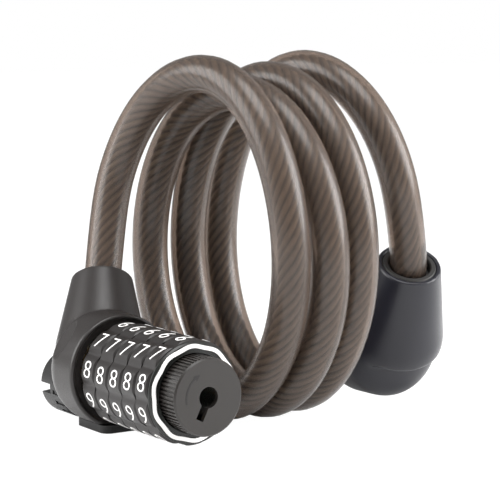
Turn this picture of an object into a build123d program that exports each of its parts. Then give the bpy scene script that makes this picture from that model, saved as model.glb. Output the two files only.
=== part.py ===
from build123d import *
import os
from math import cos, floor, pi, radians, sin

# Self-coiling combination cable lock, unlocked: a lock head with five dials at one end of a
# coiled cable, and an end cap with the locking bolt at the other.
# Millimetres. +Z up, the coil's axis along +Y, the dial barrel's axis along +X, floor at Z = 0.

# ---- clearances ----
run_gap = 0.05            # radial, between a turning piece and what carries it
seat_gap = 0.02           # radial, between pieces that are pressed or seated

# ---- cable ----
cable_d = 12.0            # over the jacket
core_d = 5.8              # twisted steel core
points_per_turn = 20
jacket_runs = 20
first_turn, last_turn = 0.0, 3.5     # the coil's start and end, in turns
side_reach = [25.8, -40.0, 37.9, -46.0, 40.6, -42.4, 37.8, -45.4, 26.7, -38.8]   # X, each half turn
height_reach = [27.9, 111.2, 6.2, 105.4, 6.2, 108.9, 6.2, 112.0, 28.8]           # Z, each half turn
forward_reach = [-76.3, -32.4, -14.2, -14.0, -1.5, -1.2, 11.6, 13.6, 36.6, 66.6]  # Y, each half turn
first_side, first_height = -0.5, -0.25      # the turn number at which each list starts

# ---- lock head ----
barrel_y, barrel_z = -48.4, 18.9     # axis of the dials
head_x = -18.9                       # where the neck's axis meets the barrel's axis
head_roll = 22.0                     # the neck leans over towards the coil
neck_slant = 32.0                    # the neck leans back from square with the barrel
head_r = 18.0
head_mouth = 13.3                    # from the neck's axis to the housing's mouth
head_dome = 13.0                     # depth of the rounded heel
head_dome_x = 2.8                    # where the heel's rounding starts
neck_len = 31.0                      # from the barrel's axis to the collar's face
neck_top_r, neck_root_r = 10.0, 14.6
neck_root = 7.0                      # height at which the neck's cone starts
lip_round = 1.0
lip_r, lip_depth = 16.7, 0.8         # step inside the housing's mouth
collar_len, collar_r, collar_bore_r = 4.5, 8.8, 6.9
collar_lip_gap = 0.1                  # radial, round the jacket
jacket_depth = 12.0                  # how far below the collar's face the jacket ends
jacket_gap = 0.4                     # radial, round the jacket in the neck
ferrule_r, ferrule_len = 4.7, 10.0
core_grip = 6.0                      # length of bare core in the ferrule
cross_pin_r, cross_pin_len = 1.25, 18.0
cross_pin_rise = 2.0                 # from the ferrule's inner end to the pin's axis
facet_r, facet_face = 6.8, 16.2      # a round thumb facet in the housing's flank
facet_turn, facet_x = 76.0, -1.0

# ---- dials ----
dial_count = 5
dial_pitch = 8.05
dial_side_gap = 0.45      # axial, between neighbouring dials
dial_r = 16.0             # at the crest of a lobe
dial_lobes = 10
dial_turns = [-11.4, -9.2, -10.1, -11.8, -14.7]     # how each dial stands
lobe_depth = 0.8
dial_bevel = 0.65
dial_bore_r = 11.0
first_dial = 2.4          # from the housing's mouth to the first dial
last_dial_cut = 0.7       # the last dial's front is set back behind the end flange
tray_r, tray_depth = 13.0, 1.6       # recess in the last dial for the end flange
ring_len = 4.6            # code ring inside each dial
ring_start = 0.4          # from a dial's rear to its code ring
ring_web = 1.6            # the thin web of a code ring that the teeth are stopped by
ring_notch_w = 2.9
tooth_space_r = 7.6
lug_w, lug_h, lug_gap = 2.4, 0.9, 0.05
spindle_r = 5.4
socket_r = 3.2
key_slot_w = 2.6
key_turn = 154.0          # direction of the keyway, turned from straight up away from the coil
spindle_flange_r, spindle_flange_t = 14.0, 3.0
pocket_depth = 5.0
detent_w, detent_depth, leaf_t = 2.6, 0.8, 0.4

# ---- barrel end and reset knob ----
end_flange_r = 15.4
end_flange_t = 1.0        # thickness of the flange's rim
white_ring_r, white_ring_w, white_ring_t = 14.7, 1.0, 0.6
bezel_bore_r = 12.1
bezel_web = 0.7
knob_r = 11.7
knob_reach = 8.0          # beyond the end flange's face
knob_ribs, rib_depth, rib_w = 60, 0.45, 0.6
rib_stop = 0.6           # plain rim in front of the ribs
knob_wall = 1.5
knob_face_t = 1.6
knob_lift = 0.25          # from the flange's web to the knob's rim
key_bit_r = 7.2           # reach of the keyhole's slot
hub_t = 2.2
washer_r_in, washer_r_out, washer_t = spindle_r + 0.6, knob_r - 2.7, 0.35
clip_t, clip_r, clip_groove = 0.8, 7.4, 0.5

# ---- mount under the head ----
shoe_len, shoe_w = 19.0, 15.0
shoe_rear = -3.6          # from the neck's axis
shoe_t, shoe_corner = 2.5, 3.0
shoe_screw_r, shoe_screw_head_r, shoe_screw_head_t = 1.5, 2.7, 1.4
shoe_screw_x, shoe_screw_top = 7.0, 7.0     # from the shoe's rear; height of the screw's tip
cup_r, cup_wall, cup_rise = 10.5, 2.8, 0.4
cup_front, cup_len = -8.0, 13.0      # from the neck's axis, and back from there
cup_floor = 6.0                      # solid length behind the cup's socket
cup_slots, cup_slot_w, cup_slot_depth = 3, 3.2, 6.0
cup_slot_turn = 96.0
cup_ribs, cup_rib_w, cup_rib_h = 18, 1.4, 0.35

# ---- end cap ----
cap_ring = (22.6, 43.0, 49.2)        # centre of the cap's collar face
cap_roll = 11.8
cap_slant = 30.0
cap_neck_len = 33.0
cap_r = 19.0
cap_top_r, cap_root_r, cap_root = 10.3, 16.5, 5.0    # the cap's neck, as the head's
cap_mouth, cap_dome, cap_dome_x = 13.0, 10.5, 1.5
cap_recess_r, cap_recess_depth = 13.0, 9.2
liner_t = 1.2
carrier_t = 2.4           # the plate in the cap that holds the bolt
bolt_r, bolt_len = 3.0, 37.2         # length beyond the cap's mouth
bolt_head_r, bolt_head_t = 5.6, 3.6
tooth_r, tooth_w, tooth_t = 7.0, 2.2, 2.2
tooth_middle = 4.4        # from a dial's rear, when the lock is closed
tooth_turn = 180.0        # the teeth point down when the cap lies open
gasket_r_out, gasket_r_in, gasket_t = 16.4, 14.4, 1.0
nose_round = 1.2

solid_nodes = {}


def add(name, shape):
    solid_nodes[name] = shape


def disc(r, x0, x1):
    # a cylinder along X from x0 to x1
    return Pos((x0 + x1) / 2, 0, 0) * Rot(0, 90, 0) * Cylinder(r, abs(x1 - x0))


def ring(r_out, r_in, x0, x1):
    return disc(r_out, x0, x1) - disc(r_in, min(x0, x1) - 1, max(x0, x1) + 1)


def block(x0, x1, y0, y1, z0, z1):
    return Pos((x0 + x1) / 2, (y0 + y1) / 2, (z0 + z1) / 2) * Box(x1 - x0, y1 - y0, z1 - z0)


def spoke(r_in, r_out, width, x0, x1, angle):
    # a radial bar about the X axis; angle 0 points along +Z
    return Rot(angle, 0, 0) * block(x0, x1, -width / 2, width / 2, r_in, r_out)


def place_head(shape):
    return Pos(head_x, barrel_y, barrel_z) * Rot(-head_roll, 0, 0) * shape


def place_barrel(shape):
    # x = 0 at the housing's mouth
    return Pos(head_x + head_mouth, barrel_y, barrel_z) * shape


def place_cap(shape):
    # the cap is drawn like the head, with its mouth to +X, and then turned to look the other way
    cap_dir = neck_dir(cap_slant)
    drop = Rot(cap_roll, 0, 0) * Rot(0, 0, 180) * Pos(*(cap_dir * -cap_neck_len))
    return Pos(*cap_ring) * drop * shape


def neck_dir(slant):
    return Vector(-sin(radians(slant)), 0, cos(radians(slant)))


def along_neck(shape, slant, start):
    # shape stands on its own Z = 0; start is its distance up the neck from the barrel's axis
    return Pos(*(neck_dir(slant) * start)) * Rot(0, -slant, 0) * shape


def rod(r, length):
    return Pos(0, 0, length / 2) * Cylinder(r, length)


def tube(r_out, r_in, length):
    return rod(r_out, length) - Pos(0, 0, -1) * rod(r_in, length + 2)


# ---- the elbow that the lock head and the end cap share ----

def bulb(r, mouth, dome, dome_x):
    # the round body about X, with a flat face at x = mouth and a rounded heel
    flank = Line((dome_x, r), (mouth - lip_round, r))
    lip = CenterArc((mouth - lip_round, r - lip_round), lip_round, 0, 90)
    face = Line((mouth, r - lip_round), (mouth, 0))
    base = Line((mouth, 0), (dome_x - dome, 0))
    heel = EllipticalCenterArc((dome_x, 0), dome, r, start_angle=90, arc_size=90)
    outline = make_face([flank, lip, face, base, heel])
    return revolve(Plane.XZ * outline, Axis.X, 360)


def neck(root_r, top_r, root, slant, length):
    height = length - root
    cone = Pos(0, 0, height / 2) * Cone(root_r, top_r, height)
    return along_neck(cone, slant, root) + along_neck(rod(root_r, root), slant, 0)


def neck_bores(slant, length):
    ferrule_start = length - jacket_depth - ferrule_len
    bores = along_neck(rod(collar_r + seat_gap, collar_len + 1), slant, length - collar_len)
    bores += along_neck(rod(cable_d / 2 + jacket_gap, jacket_depth), slant, length - jacket_depth)
    bores += along_neck(rod(ferrule_r + seat_gap, ferrule_len + 0.5), slant, ferrule_start)
    return bores + cross_pin(slant, length, seat_gap)


def cross_pin(slant, length, gap=0.0):
    centre = neck_dir(slant) * (length - jacket_depth - ferrule_len + cross_pin_rise)
    return Pos(*centre) * Rot(90, 0, 0) * Cylinder(cross_pin_r + gap, cross_pin_len + 2 * gap)


def ferrule(slant, length):
    body = rod(ferrule_r, ferrule_len)
    body -= Pos(0, 0, ferrule_len - core_grip) * rod(core_d / 2 + seat_gap, core_grip + 1)
    for crimp in (ferrule_len - core_grip + 1.2, ferrule_len - 2.4):
        body -= Pos(0, 0, crimp) * tube(ferrule_r + 1, ferrule_r - 0.4, 1.2)
    body = along_neck(body, slant, length - jacket_depth - ferrule_len)
    return body - cross_pin(slant, length, seat_gap)


def collar(slant, length):
    body = tube(collar_r, collar_bore_r, collar_len)
    body = chamfer(body.edges().group_by(Axis.Z)[-1], 0.4)
    # a lip inside the collar carries the jacket
    body += tube(collar_bore_r + 0.1, cable_d / 2 + collar_lip_gap, 1.2)
    return along_neck(body, slant, length - collar_len)


# ---- cable ----

def between(reach, first, turn):
    # a half cosine from one reach to the next
    step = (turn - first) * 2
    i = min(max(floor(step), 0), len(reach) - 2)
    return reach[i] + (reach[i + 1] - reach[i]) * (1 - cos(pi * (step - i))) / 2


def smooth(reach, first, turn):
    # a smooth curve through every reach
    step = (turn - first) * 2
    i = min(max(floor(step), 1), len(reach) - 3)
    t = step - i
    a, b, c, d = reach[i - 1:i + 3]
    return b + ((c - a) * t + (2 * a - 5 * b + 4 * c - d) * t**2 + (3 * b - a - 3 * c + d) * t**3) / 2


def coil_point(turn):
    x = between(side_reach, first_side, turn)
    y = smooth(forward_reach, first_side, turn)
    return (x, y, between(height_reach, first_height, turn))


def neck_points(face, up):
    # straight into a neck, as far as the bare core reaches
    return [face - up * depth for depth in (jacket_depth + core_grip - 0.1, jacket_depth, jacket_depth / 2, 0)]


def cable_line():
    head_axis = place_head(Location((0, 0, 0))).position
    head_face = place_head(along_neck(Location((0, 0, 0)), neck_slant, neck_len)).position
    cap_axis = place_cap(Location((0, 0, 0))).position
    cap_face = Vector(*cap_ring)
    into_head = neck_points(head_face, (head_face - head_axis).normalized())
    into_cap = neck_points(cap_face, (cap_face - cap_axis).normalized())
    steps = round((last_turn - first_turn) * points_per_turn)
    turns = [first_turn + (last_turn - first_turn) * i / steps for i in range(steps + 1)]
    return Spline(into_head + [Vector(*coil_point(turn)) for turn in turns] + into_cap[::-1])


def along_cable(line, r):
    return sweep(Plane(origin=line @ 0, z_dir=line % 0) * Circle(r), path=line)


def bare_end(slant, length):
    # where the jacket is stripped from the core
    return along_neck(rod(cable_d, core_grip + 2), slant, length - jacket_depth - core_grip - 2)


def make_cable():
    line = cable_line()
    add("cable_core", along_cable(line, core_d / 2))
    volume = 0.0
    for i in range(jacket_runs):
        # the jacket is one extrusion, kept as runs of about half a turn
        run = line.trim(i / jacket_runs, (i + 1) / jacket_runs)
        jacket = along_cable(run, cable_d / 2) - along_cable(run, core_d / 2 + seat_gap)
        if i == 0:
            jacket -= place_head(bare_end(neck_slant, neck_len))
        if i == jacket_runs - 1:
            jacket -= place_cap(bare_end(cap_slant, cap_neck_len))
        add(f"cable_jacket_{i + 1}", jacket)
        volume += jacket.volume
    jacket_len = line.length - 2 * (core_grip - 0.1)
    expected = pi * (cable_d**2 / 4 - (core_d / 2 + seat_gap)**2) * jacket_len
    print(f"cable length {jacket_len:.1f}, jacket volume {volume:.0f}, expected {expected:.0f}")


# ---- lock head ----

barrel_len = first_dial + dial_count * dial_pitch - dial_side_gap - last_dial_cut
flange_face = barrel_len + 0.2 + end_flange_t
flange_back = flange_face - end_flange_t
web_face = barrel_len - tray_depth + 0.2 + bezel_web
knob_rim = web_face + knob_lift
knob_face = flange_face + knob_reach
hub_back = web_face + washer_t + 0.1
hub_front = hub_back + hub_t
spindle_rear = -pocket_depth
spindle_front = knob_face - knob_face_t - knob_lift


def key_slot(r, width, x0, x1):
    return spoke(0, r, width, x0, x1, key_turn)


def make_head():
    body = bulb(head_r, head_mouth, head_dome, head_dome_x)
    body += neck(neck_root_r, neck_top_r, neck_root, neck_slant, neck_len)
    body -= neck_bores(neck_slant, neck_len)
    body -= disc(lip_r, head_mouth - lip_depth, head_mouth + 1)
    body -= disc(spindle_flange_r + seat_gap, head_mouth - pocket_depth, head_mouth + 1)
    body -= Rot(facet_turn, 0, 0) * Pos(facet_x, 0, facet_face) * rod(facet_r, head_r)
    add("head_housing", place_head(body) - cup_block(seat_gap) - shoe_seat())
    add("head_collar", place_head(collar(neck_slant, neck_len)))
    add("head_ferrule", place_head(ferrule(neck_slant, neck_len)))
    add("head_cross_pin", place_head(cross_pin(neck_slant, neck_len)))


def make_spindle():
    body = disc(spindle_r, spindle_rear, spindle_front)
    body += disc(spindle_flange_r, spindle_rear, spindle_rear + spindle_flange_t)
    body -= disc(socket_r, spindle_rear - 1, spindle_front + 1)
    body -= key_slot(key_bit_r + 0.2, key_slot_w, spindle_rear + spindle_flange_t, spindle_front + 1)
    groove = ring(spindle_r + 1, spindle_r - clip_groove, hub_front + 0.1, hub_front + 0.1 + clip_t)
    body -= groove
    leaf_end = web_face - bezel_web
    body -= spoke(spindle_r - detent_depth, spindle_r + 1, detent_w + 0.2, first_dial, leaf_end - 0.5, 0)
    add("spindle", place_barrel(body))
    leaf_low = spindle_r - detent_depth
    leaf = spoke(leaf_low, leaf_low + leaf_t, detent_w, first_dial + 0.2, leaf_end - 0.7, 0)
    add("detent_leaf", place_barrel(leaf))


def dial_profile():
    # lobes with a shallow hollow between neighbouring digits
    step = 360 / dial_lobes
    points = []
    for i in range(dial_lobes * 8):
        angle = step / 8 * i
        r = dial_r - lobe_depth * (0.5 - 0.5 * cos(radians(angle * dial_lobes)))**4
        points.append((r * sin(radians(angle)), r * cos(radians(angle))))
    return make_face(Spline(points, periodic=True))


def dial_start(i):
    return first_dial + i * dial_pitch


def bevelled_disc(r, width, bevel):
    body = Cylinder(r, width)
    return chamfer(body.edges().filter_by(GeomType.CIRCLE), bevel)


def make_dials():
    profile = dial_profile()
    for i in range(dial_count):
        start = dial_start(i)
        width = dial_pitch - dial_side_gap
        if i == dial_count - 1:
            width -= last_dial_cut
        end = start + width
        body = Pos(start, 0, 0) * Rot(0, 90, 0) * extrude(profile, width)
        body &= Pos(start + width / 2, 0, 0) * Rot(0, 90, 0) * bevelled_disc(dial_r + 0.1, width, dial_bevel)
        body -= disc(dial_bore_r, start - 1, end + 1)
        slot_w = lug_w + 2 * lug_gap
        slots = [spoke(dial_bore_r - 1, dial_bore_r + lug_h + lug_gap, slot_w, start - 1, end + 1, turn)
                 for turn in lug_turns(1)]
        body -= slots
        if i == dial_count - 1:
            body -= disc(tray_r, end - tray_depth, end + 1)
        turned = Rot(dial_turns[i], 0, 0)
        add(f"dial_{i + 1}", place_barrel(turned * body))
        add(f"code_ring_{i + 1}", place_barrel(turned * code_ring(start + ring_start)))


def lug_turns(step):
    return [360 / dial_lobes * k for k in range(0, dial_lobes, step)]


def code_ring(start):
    end = start + ring_len
    body = disc(dial_bore_r - seat_gap, start, end)
    body += [spoke(dial_bore_r - 1, dial_bore_r + lug_h, lug_w, start, end, turn) for turn in lug_turns(2)]
    body -= disc(tooth_space_r, start + ring_web, end + 1)
    body -= disc(spindle_r + run_gap, start - 1, end + 1)
    return body - spoke(0, tooth_space_r, ring_notch_w, start - 1, start + ring_web + 1, key_turn)


def white_ring_shape(gap):
    rim = ring(white_ring_r + gap, white_ring_r - white_ring_w - gap, flange_face - white_ring_t, flange_face)
    return rim


def make_barrel_end():
    body = disc(end_flange_r, flange_back, flange_face)
    body = chamfer(body.edges().filter_by(GeomType.CIRCLE).group_by(Axis.X)[-1], 0.5)
    body += disc(tray_r - 0.1, web_face - bezel_web, flange_back + 0.1)
    body -= disc(bezel_bore_r, web_face, flange_face + 1)
    for r_step in (12.7, 13.2):
        body -= ring(r_step + 0.12, r_step - 0.12, flange_face - 0.2, flange_face + 1)
    body -= disc(spindle_r + seat_gap, flange_back - 5, flange_face + 1)
    body -= white_ring_shape(0.0)
    add("end_flange", place_barrel(body))
    add("white_ring", place_barrel(white_ring_shape(-0.02)))
    washer = ring(washer_r_out, washer_r_in, web_face, web_face + washer_t)
    add("spring_washer", place_barrel(washer))
    clip = ring(clip_r, spindle_r - clip_groove + 0.02, hub_front + 0.1, hub_front + 0.1 + clip_t)
    clip -= key_slot(clip_r + 1, 4.4, hub_front, hub_front + 2)
    add("retaining_clip", place_barrel(clip))


def make_knob():
    body = disc(knob_r, knob_rim, knob_face)
    body = chamfer(body.edges().filter_by(GeomType.CIRCLE).group_by(Axis.X)[-1], 0.5)
    rib = spoke(knob_r - rib_depth, knob_r + 1, rib_w, knob_rim - 1, knob_face - rib_stop, 0)
    ribs = [Rot(360 / knob_ribs * k, 0, 0) * rib for k in range(knob_ribs)]
    body -= ribs
    body -= disc(knob_r - knob_wall, knob_rim - 1, knob_face - knob_face_t)
    body -= disc(socket_r, knob_rim, knob_face + 1)
    body -= key_slot(key_bit_r, key_slot_w, knob_rim, knob_face + 1)
    add("reset_knob", place_barrel(body))
    hub = ring(knob_r - knob_wall - seat_gap, spindle_r + run_gap, hub_back, hub_front)
    hub -= key_slot(key_bit_r + 0.3, ring_notch_w, hub_back - 1, hub_front + 1)
    add("knob_hub", place_barrel(hub))


def cup_block(gap):
    # a round coupling under the heel, open to the rear
    front = head_x + cup_front
    at = Pos(0, barrel_y, cup_r + cup_rise)
    return at * disc(cup_r + gap, front - cup_len - gap, front + gap)


def make_cup():
    front = head_x + cup_front
    rear = front - cup_len
    at = Pos(0, barrel_y, cup_r + cup_rise)
    body = cup_block(0.0)
    body -= at * disc(cup_r - cup_wall, rear - 1, front - cup_floor)
    for k in range(cup_slots):
        turn = 360 / cup_slots * k + cup_slot_turn
        body -= at * spoke(0, cup_r + 1, cup_slot_w, rear - 1, rear + cup_slot_depth, turn)
    for k in range(cup_ribs):
        groove = spoke(cup_r - cup_rib_h, cup_r + 1, cup_rib_w, rear + cup_slot_depth + 1.5, front + 1,
                       360 / cup_ribs * k)
        body -= at * groove
    add("bracket_cup", body)


def shoe_block(gap):
    rear = head_x + shoe_rear
    low, high = barrel_y - shoe_w / 2, barrel_y + shoe_w / 2
    body = block(rear, rear + shoe_len, low, high, 0, shoe_t)
    body = fillet(body.edges().filter_by(Axis.Z), shoe_corner)
    return offset(body, gap) if gap else body


def shoe_seat():
    return shoe_block(seat_gap) + shoe_screw(seat_gap)


def shoe_screw(gap):
    at = Pos(head_x + shoe_rear + shoe_screw_x, barrel_y, 0.4 - gap)
    head = at * rod(shoe_screw_head_r + gap, shoe_screw_head_t + gap)
    return head + at * rod(shoe_screw_r + gap, shoe_screw_top - 0.4 + 2 * gap)


def make_shoe():
    body = shoe_block(0.0) - shoe_screw(seat_gap)
    body -= Pos(head_x + shoe_rear + shoe_screw_x, barrel_y, -1) * rod(shoe_screw_head_r + seat_gap, 1.5)
    add("bracket_shoe", body)
    screw = shoe_screw(0.0)
    socket = extrude(RegularPolygon(1.25, 6), 0.9)
    add("shoe_screw", screw - Pos(head_x + shoe_rear + shoe_screw_x, barrel_y, 0.4) * socket)


# ---- end cap ----

recess_floor = cap_mouth - cap_recess_depth
carrier_back = recess_floor - carrier_t
liner_r = cap_recess_r + liner_t


def make_cap():
    body = bulb(cap_r, cap_mouth, cap_dome, cap_dome_x)
    body += neck(cap_root_r, cap_top_r, cap_root, cap_slant, cap_neck_len)
    body -= disc(cap_r + cap_root_r, cap_mouth, cap_mouth + cap_root_r)
    body -= neck_bores(cap_slant, cap_neck_len)
    body -= disc(liner_r + seat_gap, carrier_back, cap_mouth + 1)
    body -= disc(bolt_head_r + seat_gap, carrier_back - bolt_head_t, carrier_back + 1)
    body -= ring(gasket_r_out + seat_gap, gasket_r_in - seat_gap, cap_mouth - gasket_t, cap_mouth + 1)
    add("cap_shell", place_cap(body))
    add("cap_collar", place_cap(collar(cap_slant, cap_neck_len)))
    add("cap_ferrule", place_cap(ferrule(cap_slant, cap_neck_len)))
    add("cap_cross_pin", place_cap(cross_pin(cap_slant, cap_neck_len)))
    carrier = ring(liner_r, bolt_r + seat_gap, carrier_back, recess_floor)
    add("bolt_carrier", place_cap(carrier))
    liner = ring(liner_r, cap_recess_r, recess_floor, cap_mouth - 0.6)
    add("cap_liner", place_cap(liner))
    gasket = ring(gasket_r_out, gasket_r_in, cap_mouth - gasket_t, cap_mouth + 0.2)
    add("cap_gasket", place_cap(gasket))


def make_bolt():
    tip = cap_mouth + bolt_len
    body = disc(bolt_r, carrier_back - bolt_head_t, tip)
    body = fillet(body.edges().filter_by(GeomType.CIRCLE).group_by(Axis.X)[-1], nose_round)
    body += disc(bolt_head_r, carrier_back - bolt_head_t, carrier_back)
    for i in range(dial_count):
        middle = dial_start(i) + tooth_middle
        x = cap_mouth + flange_face - middle
        body += spoke(0, tooth_r, tooth_w, x - tooth_t / 2, x + tooth_t / 2, tooth_turn)
    add("locking_bolt", place_cap(body))


def export_all():
    # the origin goes under the middle of the whole
    box = Compound(list(solid_nodes.values())).bounding_box()
    shift = Vector(-(box.min.X + box.max.X) / 2, -(box.min.Y + box.max.Y) / 2, -box.min.Z)
    print("shift", shift)
    print("size", box.size)
    os.makedirs("parts", exist_ok=True)
    for name, shape in solid_nodes.items():
        export_step(Pos(*shift) * shape, f"parts/{name}.step")


make_head()
make_spindle()
make_dials()
make_barrel_end()
make_knob()
make_cup()
make_shoe()
make_cap()
make_bolt()
make_cable()
export_all()
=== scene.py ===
from math import atan2, cos, floor, pi, radians, sin

import bmesh
import bpy
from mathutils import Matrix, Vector


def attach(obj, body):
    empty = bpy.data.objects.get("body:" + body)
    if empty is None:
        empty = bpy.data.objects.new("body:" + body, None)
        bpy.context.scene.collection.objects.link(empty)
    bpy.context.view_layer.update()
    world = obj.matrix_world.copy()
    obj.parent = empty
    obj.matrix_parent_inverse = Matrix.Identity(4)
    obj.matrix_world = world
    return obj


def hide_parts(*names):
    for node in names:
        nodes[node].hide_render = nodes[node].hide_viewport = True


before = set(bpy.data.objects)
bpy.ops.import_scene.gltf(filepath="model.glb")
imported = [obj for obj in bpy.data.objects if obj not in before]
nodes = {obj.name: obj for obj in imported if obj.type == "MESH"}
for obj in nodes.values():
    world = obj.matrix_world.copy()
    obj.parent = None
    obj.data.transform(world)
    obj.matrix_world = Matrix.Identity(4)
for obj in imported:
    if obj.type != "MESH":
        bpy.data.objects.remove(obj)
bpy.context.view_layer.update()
mm = 0.001

# sizes are in millimetres, measured from the point that the coil is drawn about
drawing = {"shiftX": 2.69998, "shiftY": -0.72213}
barrel = {
    "y": -48.4, "z": 18.9,       # axis of the dials
    "headX": -18.9,              # where the neck meets it
    "mouth": 13.3,               # from there to the housing's mouth
    "firstDial": 2.4, "pitch": 8.05, "width": 7.6, "radius": 16.0,
    "knobFace": 50.7, "flangeFace": 42.7,
    "turns": [-11.4, -9.2, -10.1, -11.8, -14.7],
}


def place(x, y, z):
    return Vector(((x + drawing["shiftX"]) * mm, (y + drawing["shiftY"]) * mm, z * mm))


def onBarrel(x, r, turn):
    # x from the housing's mouth, turn from straight up towards the front
    a = radians(turn)
    return place(barrel["headX"] + barrel["mouth"] + x, barrel["y"] - r * sin(a), barrel["z"] + r * cos(a))


def clearSelection():
    if bpy.context.object and bpy.context.object.mode != "OBJECT":
        bpy.ops.object.mode_set(mode="OBJECT")
    bpy.ops.object.select_all(action="DESELECT")


def pick(obj):
    clearSelection()
    obj.select_set(True)
    bpy.context.view_layer.objects.active = obj


def settle(obj, name):
    # the place goes into the mesh
    pick(obj)
    bpy.ops.object.transform_apply(location=True, rotation=True, scale=True)
    obj.name = name
    obj.data.name = name
    return obj


def applyModifier(obj, kind, **settings):
    pick(obj)
    modifier = obj.modifiers.new(kind.lower(), kind)
    for key, value in settings.items():
        setattr(modifier, key, value)
    bpy.ops.object.modifier_apply(modifier=modifier.name)


def copyNode(name, newName):
    # a welded copy of a node's mesh, to be finished as a piece of its own
    obj = nodes[name].copy()
    obj.data = nodes[name].data.copy()
    obj.parent = None
    obj.matrix_world = nodes[name].matrix_world.copy()
    bpy.context.scene.collection.objects.link(obj)
    obj.name = newName
    obj.data.name = newName
    pick(obj)
    bpy.ops.object.mode_set(mode="EDIT")
    bpy.ops.mesh.select_all(action="SELECT")
    bpy.ops.mesh.remove_doubles(threshold=0.00001)
    bpy.ops.object.mode_set(mode="OBJECT")
    return obj


def setMaterial(obj, material):
    obj.data.materials.clear()
    obj.data.materials.append(material)


def linear(hexColour):
    values = [int(hexColour[i:i + 2], 16) / 255 for i in (1, 3, 5)]
    parts = [v / 12.92 if v <= 0.04045 else ((v + 0.055) / 1.055) ** 2.4 for v in values]
    return (*parts, 1.0)


def addNode(tree, kind, links=(), **settings):
    # settings set properties or sockets, links join (output socket, input name)
    node = tree.nodes.new(kind)
    for key, value in settings.items():
        if hasattr(node, key):
            setattr(node, key, value)
        else:
            node.inputs[key.replace("_", " ")].default_value = value
    for output, inputName in links:
        tree.links.new(output, node.inputs[inputName])
    return node


def newMaterial(name):
    material = bpy.data.materials.new(name)
    material.use_nodes = True
    shader = material.node_tree.nodes["Principled BSDF"]
    return material, material.node_tree, shader


plasticLook = {
    "grainDepth": 0.1, "cloud": 9.0, "blotch": 0.25, "specular": 0.36, "smoother": 0.05, "rougher": 0.07,
}


def mouldedPlastic(name, colour, lighter, roughness, grainSize, bump):
    # moulded polymer: even colour with a fine spark-eroded grain and slightly uneven gloss
    material, tree, shader = newMaterial(name)
    place3d = addNode(tree, "ShaderNodeTexCoord").outputs["Object"]
    grain = addNode(tree, "ShaderNodeTexNoise", [(place3d, "Vector")],
                    Scale=1 / (grainSize * mm), Detail=3.0)
    cloud = addNode(tree, "ShaderNodeTexNoise", [(place3d, "Vector")],
                    Scale=1 / (plasticLook["cloud"] * mm), Detail=4.0)
    ramp = addNode(tree, "ShaderNodeMapRange", [(cloud.outputs["Fac"], "Value")],
                   From_Min=0.3, From_Max=0.7, To_Min=0.0, To_Max=plasticLook["blotch"])
    tint = addNode(tree, "ShaderNodeMix", [(ramp.outputs["Result"], "Factor")], data_type="RGBA")
    tint.inputs[6].default_value = linear(colour)
    tint.inputs[7].default_value = linear(lighter)
    gloss = addNode(tree, "ShaderNodeMapRange", [(grain.outputs["Fac"], "Value")],
                    From_Min=0.3, From_Max=0.7, To_Min=roughness - plasticLook["smoother"],
                    To_Max=roughness + plasticLook["rougher"])
    relief = addNode(tree, "ShaderNodeBump", [(grain.outputs["Fac"], "Height")],
                     Strength=bump, Distance=plasticLook["grainDepth"] * mm)
    tree.links.new(tint.outputs[2], shader.inputs["Base Color"])
    tree.links.new(gloss.outputs["Result"], shader.inputs["Roughness"])
    tree.links.new(relief.outputs["Normal"], shader.inputs["Normal"])
    shader.inputs["Specular IOR Level"].default_value = plasticLook["specular"]
    return material


metalLook = {"line": 0.25, "smoother": 0.06, "rougher": 0.08}


def turnedMetal(name, colour, darker, roughness):
    # lathe-turned or drawn metal: fine lines and a slightly uneven tone
    material, tree, shader = newMaterial(name)
    place3d = addNode(tree, "ShaderNodeTexCoord").outputs["Object"]
    lines = addNode(tree, "ShaderNodeTexNoise", [(place3d, "Vector")],
                    Scale=1 / (metalLook["line"] * mm), Detail=2.0)
    tint = addNode(tree, "ShaderNodeMix", [(lines.outputs["Fac"], "Factor")], data_type="RGBA")
    tint.inputs[6].default_value = linear(colour)
    tint.inputs[7].default_value = linear(darker)
    gloss = addNode(tree, "ShaderNodeMapRange", [(lines.outputs["Fac"], "Value")],
                    From_Min=0.3, From_Max=0.7, To_Min=roughness - metalLook["smoother"],
                    To_Max=roughness + metalLook["rougher"])
    tree.links.new(tint.outputs[2], shader.inputs["Base Color"])
    tree.links.new(gloss.outputs["Result"], shader.inputs["Roughness"])
    shader.inputs["Metallic"].default_value = 1.0
    return material


jacketLook = {
    "colour": "#7b6b60", "deeper": "#66574d", "transmission": 0.82, "roughness": 0.24, "ior": 1.28,
    "specular": 0.25, "coat": 0.35, "coatRoughness": 0.45,
    "cloud": 14.0, "skin": 1.2, "skinDepth": 0.1, "skinStrength": 0.05,
}


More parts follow.
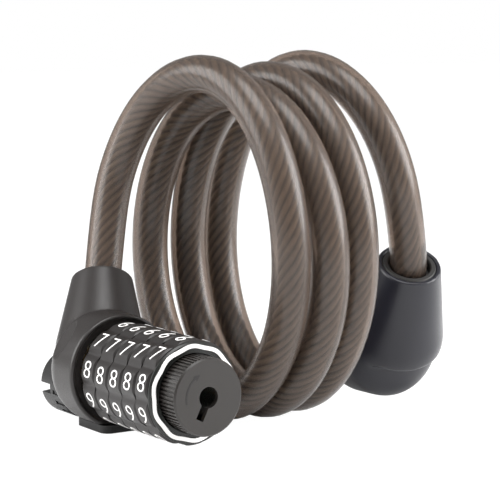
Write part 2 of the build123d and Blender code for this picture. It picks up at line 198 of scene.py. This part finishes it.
def smokeVinyl():
    # plasticised PVC with a smoke tint: cloudy, so the steel inside shows softly under a soft gloss
    material, tree, shader = newMaterial("smokeTintedPvc")
    place3d = addNode(tree, "ShaderNodeTexCoord").outputs["Object"]
    cloud = addNode(tree, "ShaderNodeTexNoise", [(place3d, "Vector")],
                    Scale=1 / (jacketLook["cloud"] * mm), Detail=3.0)
    tint = addNode(tree, "ShaderNodeMix", [(cloud.outputs["Fac"], "Factor")], data_type="RGBA")
    tint.inputs[6].default_value = linear(jacketLook["colour"])
    tint.inputs[7].default_value = linear(jacketLook["deeper"])
    skin = addNode(tree, "ShaderNodeTexNoise", [(place3d, "Vector")],
                   Scale=1 / (jacketLook["skin"] * mm), Detail=2.0)
    relief = addNode(tree, "ShaderNodeBump", [(skin.outputs["Fac"], "Height")],
                     Strength=jacketLook["skinStrength"], Distance=jacketLook["skinDepth"] * mm)
    tree.links.new(tint.outputs[2], shader.inputs["Base Color"])
    tree.links.new(relief.outputs["Normal"], shader.inputs["Normal"])
    shader.inputs["Roughness"].default_value = jacketLook["roughness"]
    shader.inputs["IOR"].default_value = jacketLook["ior"]
    shader.inputs["Specular IOR Level"].default_value = jacketLook["specular"]
    shader.inputs["Transmission Weight"].default_value = jacketLook["transmission"]
    shader.inputs["Coat Weight"].default_value = jacketLook["coat"]
    shader.inputs["Coat Roughness"].default_value = jacketLook["coatRoughness"]
    return material


# the valley colour is painted shade in the creases between the strands; the crown colour is the steel's own
# grey
strandLook = {"valleyShade": "#1c1815", "crown": "#9c9385", "metallic": 0.35, "roughness": 0.6}


def steelStrands():
    # galvanised steel wire, twisted: dull grey, with painted shade darkening the valleys between the strands
    material, tree, shader = newMaterial("galvanisedSteelStrand")
    height = addNode(tree, "ShaderNodeAttribute", attribute_name="crown")
    tint = addNode(tree, "ShaderNodeMix", [(height.outputs["Fac"], "Factor")], data_type="RGBA")
    tint.inputs[6].default_value = linear(strandLook["valleyShade"])
    tint.inputs[7].default_value = linear(strandLook["crown"])
    tree.links.new(tint.outputs[2], shader.inputs["Base Color"])
    shader.inputs["Metallic"].default_value = strandLook["metallic"]
    shader.inputs["Roughness"].default_value = strandLook["roughness"]
    return material


print("materials")
housingPlastic = mouldedPlastic("mouldedNylonHousing", "#211e1d", "#2a2726", 0.36, 0.5, 0.3)
capPlastic = mouldedPlastic("mouldedNylonCap", "#14141b", "#1c1c24", 0.34, 0.3, 0.15)
dialPlastic = mouldedPlastic("mouldedAbsDial", "#1b1817", "#242120", 0.38, 0.35, 0.1)
knobPlastic = mouldedPlastic("mouldedAbsKnob", "#211e1c", "#2a2725", 0.4, 0.4, 0.1)
bezelPlastic = mouldedPlastic("mouldedAbsBezel", "#151614", "#1d1e1b", 0.34, 0.25, 0.1)
shoePlastic = mouldedPlastic("mouldedPolyamideBracket", "#0e0d0d", "#151414", 0.4, 0.3, 0.2)
printWhite = mouldedPlastic("padPrintedWhiteInk", "#efedeb", "#e4e1de", 0.5, 0.2, 0.05)
darkRubber = mouldedPlastic("mouldedRubber", "#1a1918", "#242220", 0.55, 0.4, 0.2)
# the knob's arrow colour is painted shade of an engraved groove, not the plastic's own colour
engravedShade = mouldedPlastic("engravedShadow", "#151312", "#1c1a18", 0.6, 0.3, 0.1)
groundSteel = turnedMetal("groundHardenedSteel", "#c4c3c0", "#9c9b98", 0.28)
springSteel = turnedMetal("blueSpringSteel", "#9a9ca2", "#7d8087", 0.3)
turnedBrass = turnedMetal("turnedBrass", "#d1ac64", "#b18d4c", 0.3)
crimpAluminium = turnedMetal("crimpedAluminium", "#c9cacc", "#aeb0b3", 0.35)
jacketVinyl = smokeVinyl()
strandSteel = steelStrands()

nodeMaterials = {
    "head_housing": housingPlastic, "cap_shell": capPlastic,
    "bracket_shoe": shoePlastic, "bracket_cup": shoePlastic, "end_flange": bezelPlastic,
    "reset_knob": knobPlastic, "white_ring": printWhite, "head_collar": darkRubber,
    "cap_collar": darkRubber, "cap_gasket": darkRubber, "cap_liner": shoePlastic,
    "spindle": groundSteel, "locking_bolt": groundSteel, "head_cross_pin": groundSteel,
    "cap_cross_pin": groundSteel, "shoe_screw": groundSteel, "bolt_carrier": groundSteel,
    "spring_washer": springSteel, "retaining_clip": springSteel, "detent_leaf": springSteel,
    "knob_hub": turnedBrass, "head_ferrule": crimpAluminium, "cap_ferrule": crimpAluminium,
    "cable_core": strandSteel,
}
jacketRuns = [f"cable_jacket_{i}" for i in range(1, 21)]
for name in jacketRuns:
    nodeMaterials[name] = jacketVinyl
for i in range(1, 6):
    nodeMaterials[f"dial_{i}"] = dialPlastic
    nodeMaterials[f"code_ring_{i}"] = turnedBrass
for name, obj in nodes.items():
    setMaterial(obj, nodeMaterials[name])


cable = {
    # the coil's size and lay
    "diameter": 12.0, "strandDiameter": 6.6, "strands": 7, "layLength": 27.0, "pointsPerTurn": 20,
    "sidesPerStrand": 6, "strandStep": 1.2, "strandDepth": 0.2,   # depth as a share of the rope's radius
    "firstTurn": 0.0, "lastTurn": 3.5,
    # reach of the coil at each half turn, from the first turn number given
    "side": [25.8, -40.0, 37.9, -46.0, 40.6, -42.4, 37.8, -45.4, 26.7, -38.8], "firstSide": -0.5,
    "height": [27.9, 111.2, 6.2, 105.4, 6.2, 108.9, 6.2, 112.0, 28.8], "firstHeight": -0.25,
    "forward": [-76.3, -32.4, -14.2, -14.0, -1.5, -1.2, 11.6, 13.6, 36.6, 66.6],
    "middle": 58.0, "outside": 1.0106,      # the coil's middle height, and its control points' share
    "capRing": (22.6, 43.0, 49.2), "inset": 12.0,
}
head = {"roll": 22.0, "slant": 32.0, "neck": 31.0}
cap = {"roll": 11.8, "slant": 30.0, "neck": 33.0, "mouth": 13.0}


def between(reach, first, turn):
    step = (turn - first) * 2
    i = min(max(floor(step), 0), len(reach) - 2)
    return reach[i] + (reach[i + 1] - reach[i]) * (1 - cos(pi * (step - i))) / 2


def smooth(reach, first, turn):
    step = (turn - first) * 2
    i = min(max(floor(step), 1), len(reach) - 3)
    t = step - i
    a, b, c, d = reach[i - 1:i + 3]
    return b + ((c - a) * t + (2 * a - 5 * b + 4 * c - d) * t**2 + (3 * b - a - 3 * c + d) * t**3) / 2


def coilPoint(turn):
    # a spline passes inside its control points, so they stand a little outside the coil
    x = between(cable["side"], cable["firstSide"], turn) * cable["outside"]
    y = smooth(cable["forward"], cable["firstSide"], turn)
    z = between(cable["height"], cable["firstHeight"], turn)
    return Vector((x, y, cable["middle"] + (z - cable["middle"]) * cable["outside"]))


def headUp():
    s, r = radians(head["slant"]), radians(head["roll"])
    return Vector((-sin(s), cos(s) * sin(r), cos(s) * cos(r)))


def capUp():
    s, r = radians(cap["slant"]), radians(cap["roll"])
    return Vector((sin(s), -cos(s) * sin(r), cos(s) * cos(r)))


def routePoints():
    headFace = Vector((barrel["headX"], barrel["y"], barrel["z"])) + headUp() * head["neck"]
    capFace = Vector(cable["capRing"])
    depths = (cable["inset"], cable["inset"] / 2, 0)
    points = [headFace - headUp() * depth for depth in depths]
    steps = round((cable["lastTurn"] - cable["firstTurn"]) * cable["pointsPerTurn"])
    span = cable["lastTurn"] - cable["firstTurn"]
    points += [coilPoint(cable["firstTurn"] + span * i / steps) for i in range(steps + 1)]
    points += [capFace - capUp() * depth for depth in depths[::-1]]
    return [place(*point) for point in points]


def makeCurve(name, points, bevel, resolution):
    curve = bpy.data.curves.new(name, "CURVE")
    curve.dimensions = "3D"
    curve.bevel_depth = bevel
    curve.bevel_resolution = resolution
    curve.use_fill_caps = bevel > 0
    curve.resolution_u = 4
    spline = curve.splines.new("NURBS")
    spline.points.add(len(points) - 1)
    for target, point in zip(spline.points, points):
        target.co = (*point, 1.0)
    spline.order_u = 3
    spline.use_endpoint_u = True
    obj = bpy.data.objects.new(name, curve)
    bpy.context.scene.collection.objects.link(obj)
    return obj


def curveLine(points):
    # the points that the cable's own spline runs through
    guide = makeCurve("cableGuide", points, 0.0, 0)
    mesh = bpy.data.meshes.new_from_object(guide)
    line = [vertex.co.copy() for vertex in mesh.vertices]
    bpy.data.meshes.remove(mesh)
    bpy.data.objects.remove(guide)
    return line


def makeStrands(line):
    # the twisted rope: a lobed outline swept along the line and turned as it goes
    sides = cable["strands"] * cable["sidesPerStrand"]
    r = cable["strandDiameter"] / 2 * mm
    mesh = bpy.data.meshes.new("cableStrands")
    shape = bmesh.new()
    crown = shape.verts.layers.float.new("crown")
    step = cable["strandStep"] * mm
    even = [line[0]]
    for point in line[1:]:
        while (point - even[-1]).length > step:
            even.append(even[-1] + (point - even[-1]).normalized() * step)
    across = Vector((0, 0, 1)).cross(even[1] - even[0]).normalized()
    rings = []
    for k, point in enumerate(even):
        ahead = (even[min(k + 1, len(even) - 1)] - even[max(k - 1, 0)]).normalized()
        across = (across - ahead * across.dot(ahead)).normalized()
        other = ahead.cross(across)
        twist = 2 * pi * k * step / (cable["layLength"] * mm)
        ring = []
        for i in range(sides):
            a = 2 * pi * i / sides
            lobe = abs(cos(a * cable["strands"] / 2))
            outward = across * cos(a + twist) + other * sin(a + twist)
            reach = r * (1 - cable["strandDepth"] + cable["strandDepth"] * lobe)
            vert = shape.verts.new(point + outward * reach)
            # the lobe's height is kept as the mask for the painted shade in the strand valleys
            vert[crown] = lobe
            ring.append(vert)
        rings.append(ring)
    for one, two in zip(rings, rings[1:]):
        for i in range(sides):
            shape.faces.new((one[i], one[(i + 1) % sides], two[(i + 1) % sides], two[i]))
    shape.faces.new(rings[0][::-1])
    shape.faces.new(rings[-1])
    bmesh.ops.recalc_face_normals(shape, faces=shape.faces)
    shape.to_mesh(mesh)
    shape.free()
    mesh.shade_smooth()
    obj = bpy.data.objects.new("cableStrands", mesh)
    bpy.context.scene.collection.objects.link(obj)
    return obj


def lineLength(line):
    return sum((b - a).length for a, b in zip(line, line[1:]))


print("cable")
route = routePoints()
jacket = makeCurve("cableJacket", route, cable["diameter"] / 2 * mm, 8)
line = curveLine(route)
strands = makeStrands(line)
setMaterial(jacket, jacketVinyl)
setMaterial(strands, strandSteel)
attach(jacket, "lock")
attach(strands, "lock")
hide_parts(*jacketRuns)
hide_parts("cable_core")
print("cable length", round(lineLength(line), 4))


castings = {"headVoxel": 0.35, "headRounds": 5, "capVoxel": 0.4, "capRounds": 8, "blendRounds": 150}
capBand = {"depth": 14.0, "depthFade": 6.0, "mouth": 3.0, "mouthFade": 4.0}


def softCasting(node, name, voxel, rounds, material, blend=None):
    # the moulded body with its edges rounded over, and its neck run smoothly into the rest
    obj = copyNode(node, name)
    applyModifier(obj, "REMESH", mode="VOXEL", voxel_size=voxel * mm, adaptivity=0.0)
    applyModifier(obj, "SMOOTH", factor=0.5, iterations=rounds)
    if blend:
        group = obj.vertex_groups.new(name="blend")
        for v in obj.data.vertices:
            weight = blend(v.co)
            if weight > 0:
                group.add([v.index], weight, "REPLACE")
        applyModifier(obj, "SMOOTH", factor=0.5, iterations=castings["blendRounds"], vertex_group="blend")
    pick(obj)
    bpy.ops.object.shade_smooth()
    setMaterial(obj, material)
    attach(obj, "lock")
    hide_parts(node)
    return obj


def capBlend(point):
    # all of the cap but its mouth and the neck's end
    depth = (place(*cable["capRing"]) - point).dot(capUp()) / mm
    mouthX = cable["capRing"][0] - cap["neck"] * sin(radians(cap["slant"])) - cap["mouth"]
    fromMouth = (point.x - place(mouthX, 0, 0).x) / mm
    below = min(max((depth - capBand["depth"]) / capBand["depthFade"], 0), 1)
    inside = min(max((fromMouth - capBand["mouth"]) / capBand["mouthFade"], 0), 1)
    return below * inside


print("housings")
softCasting("head_housing", "headCasting", castings["headVoxel"], castings["headRounds"],
            housingPlastic)
softCasting("cap_shell", "capCasting", castings["capVoxel"], castings["capRounds"],
            capPlastic, capBlend)


digits = {
    "height": 5.3, "width": 5.3, "lift": 0.03, "thickness": 0.1, "bands": 9, "first": 6, "weight": -0.017,
    "fontWidth": 0.56,     # the widest figure, in the font's own units
}


def flatDigit(text):
    # one printed figure, centred, at its real size, cut into bands so that it can follow the dial
    bpy.ops.object.text_add(location=(0, 0, 0))
    obj = bpy.context.object
    obj.data.body = text
    obj.data.align_x = "CENTER"
    obj.data.offset = digits["weight"]
    obj.data.resolution_u = 4
    pick(obj)
    bpy.ops.object.convert(target="MESH")
    obj = bpy.context.object
    xs = [v.co.x for v in obj.data.vertices]
    ys = [v.co.y for v in obj.data.vertices]
    tall = max(ys) - min(ys)
    high = digits["height"] * mm
    wide = digits["width"] * mm
    middleX, middleY = (max(xs) + min(xs)) / 2, (max(ys) + min(ys)) / 2
    for v in obj.data.vertices:
        v.co.x = (v.co.x - middleX) * wide / digits["fontWidth"]
        v.co.y = (v.co.y - middleY) * high / tall
    pick(obj)
    bpy.ops.object.mode_set(mode="EDIT")
    for k in range(1, digits["bands"]):
        bpy.ops.mesh.select_all(action="SELECT")
        level = high * (k / digits["bands"] - 0.5)
        bpy.ops.mesh.bisect(plane_co=(0, level, 0), plane_no=(0, 1, 0))
    bpy.ops.object.mode_set(mode="OBJECT")
    return obj


def wrapDigit(mesh, middle, turn):
    # lays the flat figure on the dial, upright when the dial is seen from the front
    r = barrel["radius"] + digits["lift"]
    for v in mesh.vertices:
        around = turn - v.co.y / mm / r * 180 / pi
        v.co = onBarrel(middle + v.co.x / mm, r, around)


def makeDigits():
    flat = {k: flatDigit(str(k)) for k in range(10)}
    for i in range(5):
        middle = barrel["firstDial"] + i * barrel["pitch"] + barrel["width"] / 2
        parts = []
        for k in range(10):
            value = (digits["first"] + k) % 10
            copy = flat[value].copy()
            copy.data = flat[value].data.copy()
            bpy.context.scene.collection.objects.link(copy)
            wrapDigit(copy.data, middle, barrel["turns"][i] + 18 + 36 * k)
            parts.append(copy)
        clearSelection()
        for part in parts:
            part.select_set(True)
        bpy.context.view_layer.objects.active = parts[0]
        bpy.ops.object.join()
        figures = bpy.context.object
        figures.name = f"dialFigures{i + 1}"
        applyModifier(figures, "SOLIDIFY", thickness=digits["thickness"] * mm, offset=0.0)
        setMaterial(figures, printWhite)
        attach(figures, f"dial_{i + 1}_body")
    for obj in flat.values():
        bpy.data.objects.remove(obj)


print("figures")
makeDigits()


indexRing = {
    "outer": 14.8, "width": 1.2, "scallop": 0.42, "lobes": 10, "start": 3.0, "thickness": 0.5,
    "points": 240, "lift": 0.02,
}


def makeIndexRing():
    bpy.ops.object.select_all(action="DESELECT")
    bpy.ops.mesh.primitive_circle_add(vertices=indexRing["points"], radius=1.0, fill_type="NOTHING")
    obj = bpy.context.object
    bpy.ops.object.mode_set(mode="EDIT")
    bpy.ops.mesh.extrude_edges_move()
    bpy.ops.object.mode_set(mode="OBJECT")
    face = barrel["flangeFace"]
    for k, v in enumerate(obj.data.vertices):
        turn = atan2(v.co.y, v.co.x) * 180 / pi
        phase = radians((turn - indexRing["start"]) * indexRing["lobes"])
        wave = indexRing["scallop"] * (1 - cos(phase)) / 2
        r = indexRing["outer"] - (0 if k < indexRing["points"] else indexRing["width"]) - wave
        v.co = onBarrel(face + indexRing["lift"], r, turn)
    pick(obj)
    bpy.ops.object.mode_set(mode="EDIT")
    bpy.ops.mesh.select_all(action="SELECT")
    bpy.ops.mesh.normals_make_consistent(inside=False)
    bpy.ops.object.mode_set(mode="OBJECT")
    applyModifier(obj, "SOLIDIFY", thickness=indexRing["thickness"] * mm, offset=0.0)
    settle(obj, "indexRing")
    setMaterial(obj, printWhite)
    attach(obj, "lock")
    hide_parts("white_ring")


knobMark = {
    "radius": 7.6, "width": 0.55, "from": 100.0, "to": 38.0, "headLength": 16.0, "headWidth": 2.0,
    "steps": 16, "lift": 0.02, "thickness": 0.08,
}


def makeKnobMark():
    # a curved arrow that shows the way to turn: a thin dark sheet on the knob's face, painted shade standing
    # in for an engraved groove
    shape = bmesh.new()
    face = barrel["knobFace"] + knobMark["lift"]
    steps = knobMark["steps"]
    rows = []
    for k in range(steps + 1):
        turn = knobMark["from"] + (knobMark["to"] - knobMark["from"]) * k / steps
        rows.append([shape.verts.new(onBarrel(face, knobMark["radius"] + side * knobMark["width"] / 2, turn))
                     for side in (-1, 1)])
    for one, two in zip(rows, rows[1:]):
        shape.faces.new((one[0], one[1], two[1], two[0]))
    tip = shape.verts.new(onBarrel(face, knobMark["radius"], knobMark["to"] - knobMark["headLength"]))
    wingReach = knobMark["headWidth"] / 2
    wings = [shape.verts.new(onBarrel(face, knobMark["radius"] + side * wingReach, knobMark["to"]))
             for side in (-1, 1)]
    shape.faces.new((wings[0], rows[-1][0], rows[-1][1], wings[1], tip))
    bmesh.ops.recalc_face_normals(shape, faces=shape.faces)
    mesh = bpy.data.meshes.new("knobMark")
    shape.to_mesh(mesh)
    shape.free()
    obj = bpy.data.objects.new("knobMark", mesh)
    bpy.context.scene.collection.objects.link(obj)
    applyModifier(obj, "SOLIDIFY", thickness=knobMark["thickness"] * mm, offset=0.0)
    setMaterial(obj, engravedShade)
    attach(obj, "reset_knob_body")


print("ring and mark")
makeIndexRing()
makeKnobMark()


studio = {
    "floorSize": 6.0, "floorDrop": 0.0002, "white": 0.93, "glow": 1.12, "glowShare": 0.88,
    "skyOnObject": 0.35, "skySeen": 1.0,
}


def makeFloor():
    clearSelection()
    bpy.ops.mesh.primitive_plane_add(size=studio["floorSize"], location=(0, 0, -studio["floorDrop"]))
    floorPlane = bpy.context.object
    floorPlane.name = "studioFloor"
    material = bpy.data.materials.new("whitePaperFloor")
    material.use_nodes = True
    tree = material.node_tree
    tree.nodes.clear()
    paper = addNode(tree, "ShaderNodeBsdfDiffuse", Color=(studio["white"],) * 3 + (1.0,))
    glow = addNode(tree, "ShaderNodeEmission", Strength=studio["glow"])
    path = addNode(tree, "ShaderNodeLightPath")
    share = addNode(tree, "ShaderNodeMath", operation="MULTIPLY")
    share.inputs[1].default_value = studio["glowShare"]
    tree.links.new(path.outputs["Is Camera Ray"], share.inputs[0])
    mix = addNode(tree, "ShaderNodeMixShader", [(share.outputs[0], "Fac")])
    tree.links.new(paper.outputs[0], mix.inputs[1])
    tree.links.new(glow.outputs[0], mix.inputs[2])
    addNode(tree, "ShaderNodeOutputMaterial", [(mix.outputs[0], "Surface")])
    floorPlane.data.materials.append(material)


def makeWorld():
    world = bpy.data.worlds.new("studioWorld")
    bpy.context.scene.world = world
    world.use_nodes = True
    tree = world.node_tree
    tree.nodes.clear()
    path = addNode(tree, "ShaderNodeLightPath")
    strength = addNode(tree, "ShaderNodeMapRange", [(path.outputs["Is Camera Ray"], "Value")],
                       To_Min=studio["skyOnObject"], To_Max=studio["skySeen"])
    sky = addNode(tree, "ShaderNodeBackground", [(strength.outputs["Result"], "Strength")])
    sky.inputs["Color"].default_value = (1, 1, 1, 1)
    addNode(tree, "ShaderNodeOutputWorld", [(sky.outputs[0], "Surface")])


lamps = [
    # name, direction from the object (azimuth from the camera, height), distance, size, watts
    {"name": "keyLeft", "azimuth": -80, "height": 25, "distance": 0.7, "size": 0.6, "power": 7.0},
    {"name": "fillRight", "azimuth": 85, "height": 22, "distance": 0.7, "size": 0.55, "power": 9.0},
    {"name": "topSoft", "azimuth": 10, "height": 72, "distance": 0.7, "size": 0.5, "power": 6.0},
]
view = {"azimuth": 56.48, "elevation": 7.0, "distance": 620.0, "aim": (17.1, -15.4, 57.2), "lens": 144.0}


def towards(azimuth, height):
    # the direction from the object to something at that azimuth; 0 is in front, along -Y
    a, h = radians(azimuth), radians(height)
    return Vector((sin(a) * cos(h), -cos(a) * cos(h), sin(h)))


def makeLamps():
    middle = place(0, 0, 50)
    for lamp in lamps:
        data = bpy.data.lights.new(lamp["name"], "AREA")
        data.shape = "DISK"
        data.size = lamp["size"]
        data.energy = lamp["power"]
        obj = bpy.data.objects.new(lamp["name"], data)
        bpy.context.scene.collection.objects.link(obj)
        way = towards(view["azimuth"] + lamp["azimuth"], lamp["height"])
        obj.location = middle + way * lamp["distance"]
        obj.rotation_euler = (-way).to_track_quat("-Z", "Y").to_euler()


def makeCamera():
    data = bpy.data.cameras.new("studioCamera")
    data.lens = view["lens"]
    data.sensor_width = 36.0
    data.clip_start = 0.01
    obj = bpy.data.objects.new("studioCamera", data)
    bpy.context.scene.collection.objects.link(obj)
    way = towards(view["azimuth"], view["elevation"])
    obj.location = place(*view["aim"]) + way * view["distance"] * mm
    obj.rotation_euler = (-way).to_track_quat("-Z", "Y").to_euler()
    bpy.context.scene.camera = obj


print("studio")
makeFloor()
makeWorld()
makeLamps()
makeCamera()
bpy.context.scene.view_settings.view_transform = "Standard"
